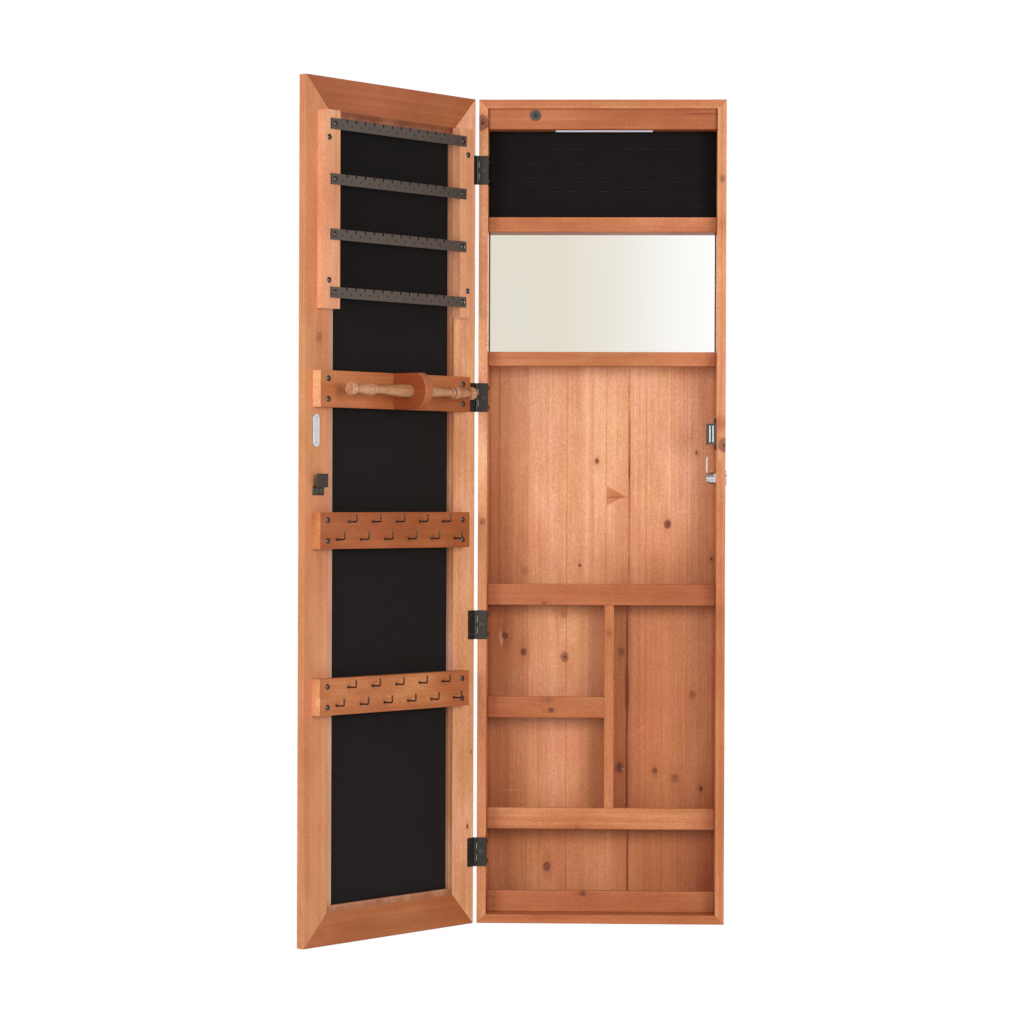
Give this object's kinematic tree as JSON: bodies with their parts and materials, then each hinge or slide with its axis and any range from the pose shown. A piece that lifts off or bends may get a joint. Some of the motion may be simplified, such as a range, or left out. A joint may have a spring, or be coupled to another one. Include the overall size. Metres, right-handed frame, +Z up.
{
  "type": "wall jewelry cabinet",
  "caption": "Tall shallow wooden wall cabinet for jewelry with a mirror door, ring pad, trays, hook rails, bracelet spindle, light and cam lock.",
  "frame": {"origin": "on the wall plane, at mid width, level with the underside of the cabinet", "axes": "+X to the right as seen from the front, +Y towards the wall, +Z up; the door is stored open"},
  "size_m": [0.5977, 0.3834, 1.2],
  "materials": {
    "carcass_wood": "satin lacquer",
    "panel_wood": "satin lacquer, knotty",
    "rail_wood": "satin stain",
    "pale_wood": "turned, lightly stained",
    "backing_board": "bare fibreboard",
    "ring_foam": "black flocked foam",
    "felt": "black felt",
    "mirror_glass": "silvered",
    "bronze_metal": "dark bronze, satin",
    "bar_metal": "dark bronze, satin",
    "zinc_metal": "zinc plated",
    "grey_plastic": "matt",
    "button_plastic": "matt",
    "milky_plastic": "milky, gloss",
    "circuit_board": "solder mask",
    "cell_sleeve": "sleeved"
  },
  "bodies": {
    "cabinet": {"side_left": "carcass_wood", "side_right": "carcass_wood", "top_board": "carcass_wood", "bottom_board": "carcass_wood", "back_panel": "panel_wood", "hanging_rail": "rail_wood", "hanger_plates": "zinc_metal", "top_rail": "rail_wood", "light_shelf": "rail_wood", "light_housing": "grey_plastic", "light_diffuser": "milky_plastic", "light_circuit": "circuit_board", "battery_holder": "grey_plastic", "battery_cells": "cell_sleeve", "switch_bezel": "grey_plastic", "ring_rail": "rail_wood", "ring_shelf": "rail_wood", "ring_pad": "ring_foam", "ring_pad_board": "backing_board", "mirror_rail": "rail_wood", "mirror_shelf": "rail_wood", "small_mirror": "mirror_glass", "mirror_backing": "backing_board", "tray_rails": "rail_wood", "tray_shelves": "rail_wood", "divider": "panel_wood", "left_rail": "rail_wood", "left_shelf": "rail_wood", "catch_body": "grey_plastic", "catch_magnet": "zinc_metal", "lock_body": "zinc_metal", "lock_nut": "zinc_metal", "hinge_frame_leaves": "bronze_metal", "hinge_pins": "bronze_metal", "cabinet_screws": "bronze_metal"},
    "door": {"hinge_door_leaves": "bronze_metal", "door_stile_hinge": "carcass_wood", "door_stile_free": "carcass_wood", "door_rail_top": "carcass_wood", "door_rail_bottom": "carcass_wood", "door_beads": "pale_wood", "felt_board": "felt", "door_mirror": "mirror_glass", "earring_strips": "carcass_wood", "earring_bars": "bar_metal", "bracelet_board": "rail_wood", "bracelet_bracket": "rail_wood", "bracelet_spindle": "pale_wood", "hook_rails": "rail_wood", "hooks": "bronze_metal", "door_screws": "bronze_metal", "strike_plate": "zinc_metal", "strike_screws": "zinc_metal", "keeper": "bronze_metal"},
    "lock": {"lock_plug": "zinc_metal", "lock_cam": "zinc_metal", "lock_cam_screw": "zinc_metal"},
    "switch": {"switch_button": "button_plastic"}
  },
  "joints": [
    {"name": "door_hinge", "type": "hinge", "parent": "cabinet", "child": "door", "pos_m": [-0.1827, -0.096, 0.6], "axis": [0, 0, 1], "range_deg": [-52, 128]},
    {"name": "lock_turn", "type": "hinge", "parent": "cabinet", "child": "lock", "pos_m": [0.167, -0.064, 0.65], "axis": [1, 0, 0], "range_deg": [0, 90]},
    {"name": "switch_push", "type": "slide", "parent": "cabinet", "child": "switch", "axis": [0, 1, 0], "range_m": [0, 0.0015], "stiffness_N_per_m": 300}
  ]
}
